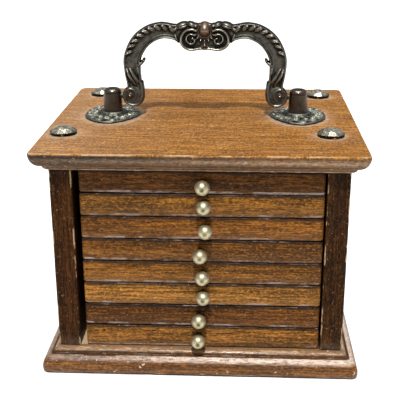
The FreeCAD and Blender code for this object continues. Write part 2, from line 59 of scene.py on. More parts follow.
class Shader:
    """A node material that is written as nested calls."""

    def __init__(self, name):
        self.material = bpy.data.materials.new(name)
        self.material.use_nodes = True
        self.tree = self.material.node_tree
        self.surface = self.tree.nodes["Principled BSDF"]

    def put(self, socket, value):
        if isinstance(value, bpy.types.NodeSocket):
            self.tree.links.new(value, socket)
        elif isinstance(value, (tuple, list)) and len(value) == 3 and socket.type == "RGBA":
            socket.default_value = (*value, 1.0)
        else:
            socket.default_value = value

    def node(self, kind, settings=(), **inputs):
        made = self.tree.nodes.new("ShaderNode" + kind)
        for key, value in dict(settings).items():
            setattr(made, key, value)
        for key, value in inputs.items():
            self.put(made.inputs[key.replace("_", " ")], value)
        return made

    def math(self, operation, first, second=0.0, clamp=False):
        made = self.node("Math", {"operation": operation, "use_clamp": clamp})
        self.put(made.inputs[0], first)
        self.put(made.inputs[1], second)
        return made.outputs[0]

    def plus(self, first, second, clamp=False):
        return self.math("ADD", first, second, clamp)

    def times(self, first, second, clamp=False):
        return self.math("MULTIPLY", first, second, clamp)

    def coords(self, scale, offset=(0, 0, 0)):
        """The piece's own coordinates in millimetres, stretched per axis."""
        place = self.node("TexCoord").outputs["Object"]
        scale = [value / MM for value in scale]
        return self.node("Mapping", Vector=place, Scale=scale, Location=offset).outputs[0]

    def noise(self, scale, offset, detail, rough, distort=0.0):
        """Noise in waves per millimetre: one scale for all three axes, or one for each."""
        scale = scale if isinstance(scale, tuple) else (scale, scale, scale)
        made = self.node("TexNoise", Vector=self.coords(scale, offset), Scale=1.0, Detail=detail,
                         Roughness=rough, Distortion=distort)
        return made.outputs["Fac"]

    def band(self, value, low, high, out_low=0.0, out_high=1.0):
        """A smooth step from low to high."""
        made = self.node("MapRange", {"interpolation_type": "SMOOTHSTEP"}, Value=value, From_Min=low,
                         From_Max=high, To_Min=out_low, To_Max=out_high)
        return made.outputs[0]

    def mix(self, share, first, second):
        made = self.node("Mix", {"data_type": "RGBA"}, Factor=share, A=first, B=second)
        return made.outputs["Result"]

    def lay(self, under, over, value, low, high, most=1.0):
        """One colour over another, more of it as value goes from low to high."""
        return self.mix(self.band(value, low, high, 0.0, most), under, over)

    def painted(self, name):
        """A number that the mesh carries on its points."""
        return self.node("Attribute", {"attribute_name": name}).outputs["Fac"]

    def bump(self, *layers):
        """Stacks (height, strength, distance in millimetres) layers into one normal."""
        normal = None
        for height, strength, depth in layers:
            made = self.node("Bump", Height=height, Strength=strength, Distance=depth * MM)
            if normal is not None:
                self.put(made.inputs["Normal"], normal)
            normal = made.outputs[0]
        return normal

    def finish(self, **inputs):
        for key, value in inputs.items():
            self.put(self.surface.inputs[key.replace("_", " ")], value)
        return self.material


def along(axis, lengthwise, across):
    """Noise scales for a grain that runs along one axis."""
    return tuple(lengthwise if axis == name else across for name in "xyz")


def scaled(colour, share):
    return tuple(share * part for part in colour)


# Colours laid over the wood: grime and painted shade, pale chips (on the base's ledge this colour is
# painted light), painted glints, nicks and a dusty film.
GRIME_TONE = (0.010, 0.006, 0.004)
CHIP_TONE = (0.50, 0.36, 0.22)
SPECK_TONE = (0.46, 0.35, 0.24)
NICK_TONE = (0.60, 0.46, 0.31)
FILM_TONE = (0.30, 0.23, 0.17)


def wood(name, axis, light, dark, seed, rubbed_from, shine, worn=(0.42, 0.27, 0.16), gloss=0.42,
         powder=(0.36, 0.27, 0.20), bands=0.45, grit_size=(0.8, 1.5), nicks=0.0, dusty=0.0):
    """Varnished open-pored hardwood with figure, fibres, pores, rubbed arrises and dust, and with
    painted glints, painted shade and painted sheen.
    """
    made = Shader(name)
    place = scaled((7.3, 3.1, 5.7), seed)
    deep = scaled(dark, 0.22)

    def grain(lengthwise, across, *texture):
        return made.noise(along(axis, lengthwise, across), place, *texture)

    figure = grain(0.010, 0.13, 3, 0.55, 0.5)
    streaks = grain(0.035, 0.85, 4, 0.65, 0.15)
    lines = grain(0.07, 2.1, 3, 0.6, 0.1)
    dashes = grain(0.22, 2.3, 2, 0.5, 0.1)
    pores = grain(0.45, 4.0, 2, 0.5, 0.1)
    grit = grain(*grit_size, 3, 0.8)
    ragged = grain(0.35, 1.6, 5, 0.65)
    speckle = grain(0.5, 1.6, 4, 0.75)
    blotches = made.noise(0.06, place, 4, 0.6)
    patchy = made.noise(0.09, place, 3, 0.6)
    specks = made.noise(0.9, (seed, 9, 4), 3, 0.8)

    tone = made.plus(made.times(figure, bands), made.times(streaks, 1 - bands))
    tone = made.plus(tone, made.painted("pale"))
    colour = made.lay(dark, light, tone, 0.43, 0.57)
    colour = made.lay(colour, scaled(dark, 0.5), lines, 0.48, 0.62, 0.75)
    colour = made.lay(colour, scaled(light, 1.6), lines, 0.45, 0.33, 0.5)
    dash = made.times(made.band(dashes, 0.56, 0.63), made.band(streaks, 0.3, 0.6, 0.6, 1.0))
    pore = made.math("MAXIMUM", dash, made.times(made.band(pores, 0.58, 0.66), 0.8))
    colour = made.mix(made.times(pore, 0.72), colour, deep)
    colour = made.lay(colour, scaled(dark, 0.6), blotches, 0.45, 0.75, 0.5)
    colour = made.lay(colour, deep, grit, 0.50, 0.64, 0.55)
    colour = made.lay(colour, scaled(light, 2.0), grit, 0.48, 0.34, 0.45)
    # Near-black grime and painted shade, where the mesh asks for it.
    colour = made.mix(made.times(made.painted("grime"), 0.9), colour, GRIME_TONE)

    # Rubbed arrises; on the tray fronts the lower arris is also a painted sheen.
    edge = made.painted("edge")
    rub = made.times(edge, made.band(patchy, 0.36, 0.64, 0.45, 1.1))
    rub = made.plus(rub, made.times(made.math("SUBTRACT", ragged, 0.5), 1.2))
    rubbed = made.band(rub, rubbed_from, rubbed_from + 0.25)
    rubbed = made.times(rubbed, made.band(edge, 0.3, 0.7), clamp=True)
    colour = made.mix(rubbed, colour, worn)
    # Pale wood at chips; on the base's ledge the same colour is painted light.
    colour = made.lay(colour, CHIP_TONE, made.painted("chip"), 0.35, 0.8, 0.9)

    # Dust, and where the mesh asks for it a painted sheen: on the base's quarter round, on the top's
    # moulded edge and at the foot of each tray front.
    dust = made.times(made.painted("dust"), made.band(speckle, 0.35, 0.65, 0.25, 1.15))
    colour = made.mix(made.times(dust, 0.7, clamp=True), colour, powder)
    # Small pale specks: painted glints in the grain.
    colour = made.lay(colour, SPECK_TONE, specks, 0.66, 0.71, 0.6)
    if nicks:
        dings = made.noise((0.50, 0.70, 0.70), (seed * 2, 2, 7), 1, 0.5, 0.6)
        colour = made.lay(colour, NICK_TONE, dings, 0.71, 0.75, nicks)
    if dusty:
        colour = made.lay(colour, FILM_TONE, grain(0.06, 0.5, 5, 0.7), 0.4, 0.75, dusty)

    rough = made.plus(made.band(blotches, 0.3, 0.7, gloss - 0.08, gloss + 0.10),
                      made.times(made.plus(rubbed, dust), 0.22))
    rough = made.plus(rough, made.times(pore, 0.2), clamp=True)
    normal = made.bump((blotches, 0.35, 0.35), (lines, 0.45, 0.15),
                       (made.math("SUBTRACT", streaks, pore), 0.8, 0.15),
                       (ragged, made.times(rubbed, 0.5), 0.12))
    return made.finish(Base_Color=colour, Roughness=rough, Normal=normal, Specular_IOR_Level=shine)


def old_metal(name, seed, rough, bright, dull, crevice, tint=None):
    """Antiqued cast metal: dark in the hollows, rubbed bright on what stands out; on the knobs the same
    per-point number also paints shade and a dark reflection, and on the rosettes shadow on the edge.
    """
    made = Shader(name)
    place = scaled((1, 2, 3), seed)
    mottle = made.noise(0.5, place, 5, 0.65)
    fine = made.noise(3.0, place, 3, 0.6)
    relief = made.times(made.math("SUBTRACT", mottle, 0.5), 0.5)
    relief = made.plus(made.painted("relief"), relief)
    shine = made.band(relief, 0.58, 0.86)
    colour = made.lay(crevice, dull, relief, 0.18, 0.5)
    colour = made.mix(shine, colour, bright)
    if tint:
        colour = made.mix(made.times(made.painted("copper"), 0.85), colour, tint)
    colour = made.lay(colour, scaled(dull, 0.6), mottle, 0.5, 0.8, 0.35)
    roughness = made.math("SUBTRACT", made.band(mottle, 0.3, 0.7, rough - 0.05, rough + 0.14),
                          made.times(shine, 0.12))
    normal = made.bump((mottle, 0.25, 0.12), (fine, 0.35, 0.03))
    return made.finish(Base_Color=colour, Metallic=0.9, Roughness=roughness, Normal=normal)


# ---- meshes ----


def place_object(name, data):
    made = bpy.data.objects.new(name, data)
    bpy.context.scene.collection.objects.link(made)
    return made


def make_mesh(name, points, faces, smooth=True, **attributes):
    """A piece from points in millimetres, with a number per point for each attribute."""
    mesh = bpy.data.meshes.new(name)
    mesh.from_pydata([tuple(p) for p in np.asarray(points) * MM], [], faces)
    mesh.validate()
    for key, values in attributes.items():
        layer = mesh.attributes.new(key, "FLOAT", "POINT")
        layer.data.foreach_set("value", np.asarray(values, dtype=np.float32))
    mesh.polygons.foreach_set("use_smooth", [smooth] * len(mesh.polygons))
    mesh.update()
    return place_object(name, mesh)


def install(piece, material, body, node):
    """Gives a piece its finish and its slot, and puts it in a CAD node's place on a body."""
    piece.data.materials.clear()
    piece.data.materials.append(material)
    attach(piece, body)
    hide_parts(node)


def bell(value, middle, width):
    """1 at the middle, fading to 0 on both sides of it."""
    return np.exp(-(((value - middle) / width) ** 2))


def ripple(points, scale, seed):
    """Smooth noise from -1 to 1 at each point; scale is in waves per millimetre."""
    shift = Vector((seed * 13.7, seed * 5.1, seed * 9.3))
    return np.array([noise.noise(Vector(p) * scale + shift) for p in points])


def skin(rings, size, turned=False, capped=True):
    """Faces between rings of points, with a cap on each end; turned swaps inside and outside."""
    faces = []
    for ring in range(rings - 1):
        for index in range(size):
            near = ring * size + index
            after = ring * size + (index + 1) % size
            quad = (near, after, after + size, near + size)
            faces.append((near, near + size, after + size, after) if turned else quad)
    if capped:
        first = tuple(range(size))
        last = tuple(range((rings - 1) * size, rings * size))
        faces += [first, last[::-1]] if turned else [first[::-1], last]
    return faces


def rounded_ring(half_x, half_y, radius, steps_x, steps_y, steps_corner):
    """Points round a rounded rectangle, and how near each is to the middle of a corner."""
    radius = max(min(radius, half_x, half_y), 1e-3)

    def around(corner, degrees):
        side_x, side_y, start = corner
        turn = math.radians(start + degrees)
        return (side_x * (half_x - radius) + radius * math.cos(turn),
                side_y * (half_y - radius) + radius * math.sin(turn))

    ring, cornered = [], []
    corners = [(1, -1, -90), (1, 1, 0), (-1, 1, 90), (-1, -1, 180)]
    for index, corner in enumerate(corners):
        for step in range(steps_corner + 1):
            ring.append(around(corner, 90 * step / steps_corner))
            cornered.append(math.sin(math.pi * step / steps_corner))
        here, there = ring[-1], around(corners[(index + 1) % 4], 0)
        count = (steps_y, steps_x)[index % 2]
        for step in range(1, count):
            ring.append(tuple(a + (b - a) * (step / count) for a, b in zip(here, there)))
            cornered.append(0.0)
    return ring, cornered


def stacked_rings(sections, spacing, steps_corner=6):
    """A closed skin through rounded rectangles: each section is (half x, half y, radius, z, edge).

    An edge of -1 marks the corners of its section.
    """
    steps_x = max(2, round(2 * max(section[0] for section in sections) / spacing))
    steps_y = max(2, round(2 * max(section[1] for section in sections) / spacing))
    points, edges = [], []
    for half_x, half_y, radius, z, edge in sections:
        ring, cornered = rounded_ring(half_x, half_y, radius, steps_x, steps_y, steps_corner)
        points += [(x, y, z) for x, y in ring]
        edges += [edge if edge >= 0 else near for near in cornered]
    return np.array(points), np.array(edges), skin(len(sections), len(points) // len(sections))


def inset_run(start, stop, step):
    """Insets from start to stop, for a flat face that is made of nested rings."""
    return np.linspace(start, stop, max(1, round(abs(stop - start) / step)) + 1)


def dents(points, edges, seed, depth, scale=0.16, threshold=0.32):
    """How far each point of an arris is knocked back, and how fresh the chip is."""
    lumps = ripple(points, scale, seed) + 0.45 * ripple(points, scale * 4.2, seed + 3)
    hit = np.clip((lumps - threshold) / 0.3, 0, 1) * edges
    return depth * hit, np.clip(hit * 1.2, 0, 1)


def toward_middle(points, slope):
    """Level directions from each point to the middle, each axis weighed by slope."""
    inward = -points * np.array([*slope, 0])
    return inward / np.maximum(np.linalg.norm(inward, axis=1, keepdims=True), 1e-6)


def near_discs(points, discs, reach):
    """1 beside the rim of any disc (x, y, half x, half y), fading to 0 at a distance of reach."""
    fade = np.zeros(len(points))
    for x, y, half_x, half_y in discs:
        out = np.hypot((points[:, 0] - x) / half_x, (points[:, 1] - y) / half_y) - 1
        away = np.maximum(out * min(half_x, half_y), 0)
        fade = np.maximum(fade, bell(away, 0, reach))
    return fade


def node_box(name):
    """Lowest corner, highest corner, middle and half size of a CAD node, in millimetres."""
    low, high = (np.array(corner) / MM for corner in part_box(name))
    return low, high, (low + high) / 2, (high - low) / 2


def node_points(name):
    """The points of a CAD node in millimetres, in the row frame."""
    mesh = frame["nodes"][name].data
    flat = np.empty(len(mesh.vertices) * 3)
    mesh.vertices.foreach_get("co", flat)
    return flat.reshape(-1, 3) / MM


def stud_middles():
    """Plan centres of the four nail heads, one in each quarter of the top."""
    points = node_points("corner_studs")
    middles = []
    for side_x in (-1, 1):
        for side_y in (-1, 1):
            quarter = points[(points[:, 0] * side_x > 0) & (points[:, 1] * side_y > 0)]
            middles.append((quarter.min(axis=0) + quarter.max(axis=0)) / 2)
    return middles


# ---- the two moulded boards ----

BAND_TALL = 2.0
OVOLO_INSET = 3.8
BAND_INSET = 4.1


def moulding(half_x, half_y, thickness, ovolo_tall):
    """Sections of a moulded board from its outer face at z = 0 down to its band at -thickness."""
    corner, arris = 2.6, 0.8
    ovolo_top = thickness - BAND_TALL - ovolo_tall
    band_top = thickness - BAND_TALL
    sections = []

    def add(inset, z, edge):
        radius = max(corner - inset * 0.35, 0.3)
        sections.append((half_x - inset, half_y - inset, radius, z, edge))

    for inset in inset_run(half_y - 0.5, 2.0, 1.0):
        add(inset, 0, 0)
    add(1.4, 0, 0.06)
    add(1.05, 0, 0.25)
    for step in range(7):
        turn = math.pi / 2 * step / 6
        edge = 0.3 + 0.7 * math.sin(2 * turn) ** 2
        add(arris * (1 - math.sin(turn)), -arris * (1 - math.cos(turn)), edge)
    add(0, -(arris + ovolo_top) / 2, 0.12)
    for step in range(13):
        turn = math.pi / 2 * step / 12
        add(OVOLO_INSET * (1 - math.cos(turn)), -ovolo_top - ovolo_tall * math.sin(turn), 0.05)
    add(BAND_INSET - 0.1, -band_top - 0.04, 0.0)
    for inset, drop, edge in ((0, 0.25, 0.1), (0.1, 0.6, 0.5), (0.3, 1.0, 0.4), (0.62, 1.4, 0.5),
                              (1.05, 1.75, 0.8), (1.6, 1.96, 0.7), (2.2, BAND_TALL, 0.15)):
        add(BAND_INSET + inset, -band_top - drop, edge)
    for inset in inset_run(BAND_INSET + 3.2, half_y - 1, 1.2):
        add(inset, -thickness, 0)
    return sections


def moulded_board(name, seed, ovolo_tall):
    """The board's skin in its own frame, knocked about along its arrises."""
    _, _, _, half = node_box(name)
    points, edges, faces = stacked_rings(moulding(half[0], half[1], 2 * half[2], ovolo_tall), 0.75)
    strong = np.clip((edges - 0.4) / 0.4, 0, 1)
    depth, chip = dents(points, strong, seed, 0.34)
    lean = toward_middle(points, (1 / half[0], 1 / half[1])) + np.array([0, 0, -0.5])
    points = points + lean * depth[:, None]
    points[:, 2] -= 0.05 * (1 + ripple(points, 0.03, seed + 8)) * (edges < 0.5)
    return points, edges, chip, faces


def top_board():
    """The top: dust round its metal and along its left, a darker ring at the foot of the metal, and
    painted shade and a painted sheen on its moulded edge.
    """
    points, edges, chip, faces = moulded_board("top_board", 4, 4.7)
    top = node_box("top_board")[1][2]
    points[:, 2] += top
    discs = [(x, y, 5.1, 5.1) for x, y, _ in stud_middles()]
    for side in ("left", "right"):
        _, _, middle, half = node_box("rosette_" + side)
        discs.append((*middle[:2], *half[:2]))
    down = top - points[:, 2]
    leftward = np.clip(0.5 - points[:, 0] / 80, 0, 1)
    on_top = down < 0.4
    side_face = down > 0.7

    # A darker ring at the foot of the metal on top; painted shade over the whole moulded edge, most just
    # under the arris and low on the edge, darker towards the left.
    grime = 0.75 * near_discs(points, discs, 0.35) * on_top
    grime = np.where(side_face, 0.42 + 0.53 * leftward + 0.35 * bell(down, 1.2, 0.5), grime)
    grime = np.where(down > 4.2, 0.72 + 0.10 * leftward, grime)

    dust = near_discs(points, discs, 1.1) + 0.35 * np.clip((-points[:, 0] - 8) / 45, 0, 1)
    dust += 0.4 * near_discs(points, discs, 4.0) * (ripple(points, 0.35, 2) > -0.25)
    # Painted sheen along the middle of the moulded edge, weaker towards the left, and pale lines low on
    # its band.
    sheen = (0.85 - 0.58 * leftward) * bell(down, 2.8, 0.9) + 0.08
    dust = np.where(side_face, sheen, dust * on_top)
    lip = bell(down, 5.75, 0.22) + 0.8 * bell(down, 7.1, 0.3)
    dust = np.clip(dust + lip * (down > 5), 0, 1)

    piece = make_mesh("top_board_worn", points, faces, edge=edges, chip=chip, dust=dust, grime=grime)
    varnish = wood("top_board_varnish", "x", (0.400, 0.172, 0.031), (0.220, 0.085, 0.014), 3, 0.60, 0.12,
                   powder=(0.50, 0.37, 0.27), bands=0.2, grit_size=(1.1, 0.8), nicks=0.5, dusty=0.10)
    install(piece, varnish, "case", "top_board")


def base_board():
    """The base: a ledge painted paler as lit from above, painted shade in the step under it and under
    the trays, a painted sheen on the quarter round, and bare wood where the left panel meets it.
    """
    points, edges, chip, faces = moulded_board("base_board", 9, 4.9)
    low, high, _, _ = node_box("base_board")
    points[:, 2] = low[2] - points[:, 2]
    points[:, 1] *= -1
    x, y, z = points.T
    bay_low, bay_high, _, _ = node_box("tray_1")
    panel_face = node_box("side_panel_left")[1][0]
    step = high[2] - 2.2
    plateau = z > step + 1.1
    riser = (z >= step + 0.1) & ~plateau
    covered = plateau & (y > bay_low[1] + 0.8) & (y < bay_high[1]) & (x > bay_low[0]) & (x < bay_high[0])
    bare = plateau & (x > panel_face - 1) & (x < bay_low[0] + 1)
    bare &= (y > bay_low[1] + 0.5) & (y < bay_low[1] + 12)

    # Painted sheen on the upper quarter round, strongest right of the middle.
    facing = np.clip(1.3 - np.abs(x - 27) / 65, 0.25, 1)
    ovolo = np.clip((z - step + 1.5) / 1.1, 0, 1) * (z < step + 0.1)
    dust = np.where(plateau, 0.0, 1.7 * ovolo * facing)
    # Painted shade in the step under the ledge and on the ledge under the trays.
    grime = np.where(riser, 0.65, np.where(covered, 0.6, 0.0))
    # The ledge takes the pale chip colour as painted light, except under the trays; the step takes none.
    chip = np.where(plateau, np.maximum(chip, 0.50), np.where(riser, 0.0, chip))
    chip = np.where(bare, 1.0, np.where(covered, 0.0, chip))
    edges = np.where(riser, 0.0, edges)
    piece = make_mesh("base_board_worn", points, faces, edge=edges, chip=chip, dust=dust, grime=grime)
    varnish = wood("base_board_varnish", "x", (0.205, 0.078, 0.012), (0.090, 0.030, 0.004), 17, 0.62,
                   0.35, gloss=0.34, powder=(0.70, 0.56, 0.46), nicks=0.8)
    install(piece, varnish, "case", "base_board")


# ---- panels ----


def panel(name, corner, seed, light, dark):
    """An upright panel with rubbed and chipped upright edges."""
    low, high, middle, half = node_box(name)
    sections = [(half[0], half[1], corner, z, -1) for z in np.linspace(low[2], high[2], 96)]
    points, edges, faces = stacked_rings(sections, 1.0, 5)
    depth, chip = dents(points, edges, seed, 0.2, 0.3, 0.5)
    points = points + toward_middle(points, (1.0, half[0] / half[1])) * depth[:, None]
    points[:, :2] += middle[:2]
    ends = np.minimum(points[:, 2] - low[2], high[2] - points[:, 2])
    inner = np.sign(middle[0]) * (middle[0] - points[:, 0]) > half[0] - 0.2
    # Painted shade on the inner face and where the ends meet the boards.
    grime = np.where(inner, 0.55, 0.55 * bell(ends, 0, 1.2))
    piece = make_mesh(name + "_worn", points, faces, edge=edges * 0.9, chip=chip,
                      dust=0.25 * bell(points[:, 2], low[2], 3), grime=grime)
    varnish = wood(name + "_varnish", "z", light, dark, seed, 0.60, 0.07, worn=(0.40, 0.27, 0.16))
    install(piece, varnish, "case", name)


# ---- trays ----

# The stain of each tray front, from the lowest tray up.
TRAY_TONES = [(0.215, 0.088, 0.0150), (0.130, 0.046, 0.0070), (0.270, 0.115, 0.0200),
              (0.190, 0.074, 0.0115), (0.155, 0.058, 0.0085), (0.170, 0.062, 0.0085),
              (0.180, 0.072, 0.0100), (0.096, 0.033, 0.0030)]
# How much paler the left and right ends of each front are.
TRAY_SHIFTS = [(0.03, -0.02), (-0.08, 0.11), (0.03, 0.02), (0.04, -0.03),
               (0.07, -0.03), (-0.07, -0.01), (-0.06, 0.03), (0.0, 0.0)]
RIM, FLOOR, RECESS_CORNER, TRAY_ARRIS = 6.0, 2.3, 6.0, 0.6


def tray_sections(half, height):
    """Sections of a routed tray from the middle of its underside to the middle of its recess."""
    sections = []

    def outside(inset, z, edge):
        sections.append((half[0] - inset, half[1] - inset, max(1.3 - inset * 0.3, 0.6), z, edge))

    def inside(inset, z, edge, corner=None):
        radius = RECESS_CORNER - inset if corner is None else corner
        sections.append((half[0] - RIM - inset, half[1] - RIM - inset, radius, z, edge))

    for inset in (40.0, 24.0, 10.0, 4.0, 1.6):
        outside(inset, 0, 0)
    turns = [math.pi / 2 * step / 5 for step in range(6)]
    # The lower arris, and after it the first strip of the front, carry high edge values: rubbed wear and
    # a painted sheen.
    for turn in turns:
        edge = 0.6 + 0.4 * math.sin(2 * turn)
        outside(TRAY_ARRIS * (1 - math.sin(turn)), TRAY_ARRIS * (1 - math.cos(turn)), edge)
    for index, share in enumerate(np.linspace(0.02, 0.98, 14)):
        edge = (0.95, 0.12)[index] if index < 2 else 0.0
        outside(0, TRAY_ARRIS + (height - 2 * TRAY_ARRIS) * share, edge)
    for turn in turns:
        edge = 0.15 + 0.45 * math.sin(2 * turn)
        outside(TRAY_ARRIS * (1 - math.cos(turn)), height - TRAY_ARRIS * (1 - math.sin(turn)), edge)
    outside(2.0, height, 0.05)
    outside(4.5, height, 0.0)
    for inset, drop, edge in ((-0.3, 0, 0.5), (-0.1, 0.08, 0.9), (0, 0.3, 0.6), (0, 0.8, 0.1),
                              (0, 3.0, 0)):
        inside(inset, height - drop, edge)
    inside(0, FLOOR + 0.6, 0)
    inside(0.2, FLOOR + 0.1, 0)
    for inset, corner in ((0.6, 3.0), (5.5, 3.0), (14.0, 2.0), (30.0, 2.0)):
        inside(inset, FLOOR, 0, corner)
    return sections


def tray(number):
    """A routed tray with round long edges, a painted grey sheen along the lower one and painted shadow
    under the upper one, a recess with painted shade inside, and a worn rim.
    """
    name = "tray_%d" % number
    low, high, middle, half = node_box(name)
    height = high[2] - low[2]
    points, edges, faces = stacked_rings(tray_sections(half, height), 0.9, 6)

    front = points[:, 1] < -half[1] + 1.2
    depth, chip = dents(points, edges * (edges > 0.55), number * 2.3, 0.14, 0.25, 0.52)
    points[:, 1] += depth * np.sign(-points[:, 1])
    points[:, 1] += 0.10 * ripple(points, 0.05, number) * front
    points[:, 2] += 0.10 * math.sin(number * 2.1) * points[:, 0] / half[0]
    x, y, z = points.T.copy()
    # Painted sheen low on the front with a grey painted sheen fading up it, and painted shadow along the
    # top of the front under the tray above.
    bottom = np.clip(1 - z / 1.6, 0, 1) * front
    upper = np.clip((z - height + 1.5) / 1.1, 0, 1) * front
    film = 0.5 * np.clip(1 - z / 5.5, 0, 1) * front
    dust = np.clip(np.maximum(1.1 * bottom * (z > 0.12), film), 0, 1)
    recess = (np.abs(x) < half[0] - RIM + 0.2) & (np.abs(y) < half[1] - RIM + 0.2)
    # Painted shade deeper in the recess, and on the underside and lowest strip.
    deep = np.clip((height - z) / 2.5, 0, 1) * recess
    grime = np.maximum(upper, np.where(z > FLOOR - 0.1, 0.35 * deep, 0.3))
    points += np.array([middle[0], middle[1], low[2]])
    left, right = TRAY_SHIFTS[number - 1]
    pale = left + (right - left) * np.clip(points[:, 0] / 60 + 0.5, 0, 1)
    piece = make_mesh(name + "_worn", points, faces, edge=edges, chip=chip * 0.8, dust=dust, grime=grime,
                      pale=pale)
    tone = TRAY_TONES[number - 1]
    # The tone of the painted sheen: half the stain, greyed more on the paler fronts.
    haze = min(1.0, tone[0] / 0.16)
    powder = tuple(0.5 * part + haze * grey for part, grey in zip(tone, (0.10, 0.070, 0.050)))
    varnish = wood(name + "_varnish", "x", scaled(tone, 1.45), scaled(tone, 0.48), 20 + number, 0.56,
                   0.10, worn=(0.32, 0.255, 0.225), gloss=0.38, powder=powder)
    install(piece, varnish, name, name)


def cork():
    """Pressed cork: pale granules with dark grains and seams between them."""
    made = Shader("cork_sheet")
    place = made.coords((1.1, 1.1, 1.1))
    cells = made.node("TexVoronoi", {"feature": "F1"}, Vector=place, Scale=1.0)
    seams = made.node("TexVoronoi", {"feature": "DISTANCE_TO_EDGE"}, Vector=place, Scale=1.0)
    seams = seams.outputs["Distance"]
    grains = made.noise(0.9, (3, 1, 2), 4, 0.7)
    shade = made.node("SeparateColor", Color=cells.outputs["Color"]).outputs[0]
    colour = made.mix(shade, (0.30, 0.17, 0.08), (0.60, 0.41, 0.23))
    colour = made.lay(colour, (0.12, 0.06, 0.03), grains, 0.56, 0.66)
    gap = made.band(seams, 0.0, 0.09, 1.0, 0.0)
    colour = made.mix(made.times(gap, 0.6), colour, (0.14, 0.08, 0.04))
    normal = made.bump((seams, 0.5, 0.15), (grains, 0.5, 0.15))
    return made.finish(Base_Color=colour, Roughness=0.86, Normal=normal, Specular_IOR_Level=0.25)


def felt():
    made = Shader("dark_green_felt")
    tufts = made.noise(1.5, (0, 0, 0), 5, 0.8)
    hairs = made.noise(6, (5, 5, 5), 3, 0.7, 1.5)
    colour = made.mix(tufts, (0.018, 0.034, 0.024), (0.065, 0.095, 0.070))
    colour = made.lay(colour, (0.16, 0.19, 0.16), hairs, 0.55, 0.75, 0.5)
    normal = made.bump((hairs, 0.7, 0.12), (tufts, 0.5, 0.2))
    return made.finish(Base_Color=colour, Roughness=0.95, Normal=normal, Sheen_Weight=0.4,
                       Sheen_Roughness=0.5)


# ---- turned and cast metal ----


def lathe(profile, steps, start=0.0):
    """Points, faces and per-point values of a turned solid; each row of profile is (radius, height,
    relief and painted light).
    """
    turns = [start + 2 * math.pi * step / steps for step in range(steps)]
    points = [(radius * math.cos(turn), radius * math.sin(turn), height)
              for radius, height, _ in profile for turn in turns]
    return np.array(points), skin(len(profile), steps), np.repeat([row[2] for row in profile], steps)


def join_parts(parts):
    """Several (points, faces, values...) parts as one set."""
    columns = [[] for _ in parts[0]]
    offset = 0
    for part in parts:
        columns[0].append(part[0])
        columns[1] += [tuple(index + offset for index in face) for face in part[1]]
        for slot, values in enumerate(part[2:], start=2):
            columns[slot].append(values)
        offset += len(part[0])
    return [np.concatenate(columns[0]), columns[1]] + [np.concatenate(column) for column in columns[2:]]


def knob(number, metal):
    """A ball knob on a short stem, with painted shade where the stem meets the ball and a small dark
    painted reflection in the middle of its front.
    """
    name = "tray_knob_%d" % number
    low, high, middle, half = node_box(name)
    ball = 1.05 * half[2]
    length = high[1] - low[1]
    foot = node_box("tray_%d" % number)[0][1] - low[1]
    # The low value at the front pole paints a small dark reflection; the values falling toward the back
    # of the ball and the low ones on the flange and stem paint shade.
    profile = [(0.02, 0.0, 0.30)]
    for step in range(1, 15):
        turn = math.radians(150) * step / 14
        relief = 0.35 if step == 1 else 0.78 - 0.5 * max(0, step - 9) / 5
        profile.append((ball * math.sin(turn), ball * (1 - math.cos(turn)), relief))
    profile += [(1.35, foot - 1.5, 0.2), (1.3, foot - 0.9, 0.15), (1.6, foot - 0.65, 0.25),
                (1.7, foot - 0.3, 0.2), (1.65, foot + 0.1, 0.05), (0.9, foot + 0.2, 0.1),
                (0.7, length - 0.8, 0.1), (0.05, length, 0.1)]
    points, faces, relief = lathe(profile, 40, number * 1.9)
    points = points[:, [0, 2, 1]] + np.array([middle[0], low[1], middle[2]])
    relief = relief + 0.10 * ripple(points, 0.5, number)
    piece = make_mesh("knob_%d" % number, points, [face[::-1] for face in faces], relief=relief)
    install(piece, metal, "tray_%d" % number, name)


def post(side, metal):
    """A turned post with a soft shoulder, a fine groove under it and a dished top."""
    name = "handle_post_" + side
    low, high, middle, half = node_box(name)
    radius = half[0] + 0.3
    tall = high[2] - low[2]
    profile = [(radius, -0.02, 0.5), (radius, 0.35, 0.6), (radius - 0.12, 0.6, 0.35),
               (radius - 0.14, 0.9, 0.42)]
    for share in np.linspace(0.15, 0.78, 8):
        profile.append((radius - 0.14 - 0.30 * share, tall * share, 0.45))
    for inset, drop, relief in ((0.40, 1.75, 0.4), (0.48, 1.6, 0.1), (0.40, 1.45, 0.6), (0.38, 1.2, 0.6),
                                (0.48, 0.85, 0.8), (0.78, 0.50, 0.95), (1.05, 0.25, 0.9),
                                (1.4, 0.08, 0.6), (1.8, 0.0, 0.5), (2.1, 0.05, 0.4), (2.6, 0.18, 0.3),
                                (radius - 0.05, 0.3, 0.3)):
        profile.append((radius - inset, tall - drop, relief))
    points, faces, relief = lathe(profile, 56)
    points += np.array([middle[0], middle[1], low[2]])
    relief = relief + 0.08 * ripple(points, 0.4, len(side))
    piece = make_mesh("post_" + side, points, faces, relief=relief)
    install(piece, metal, "case", name)


def hammer_planes(dice, ball, tall):
    """The facets of a nail head as (direction, steepness, height over the middle)."""
    planes = [(0.0, 0.0, tall)]
    for count, tip in ((5, 15), (8, 28), (11, 41)):
        start = dice.uniform(0, 2 * math.pi)
        for index in range(count):
            turn = start + 2 * math.pi * (index + dice.uniform(-0.25, 0.25)) / count
            lean = math.radians(tip * dice.uniform(0.88, 1.12))
            peak = ball * dice.uniform(0.985, 1.0) / math.cos(lean) + tall - ball
            planes.append((turn, math.tan(lean), peak))
    return planes


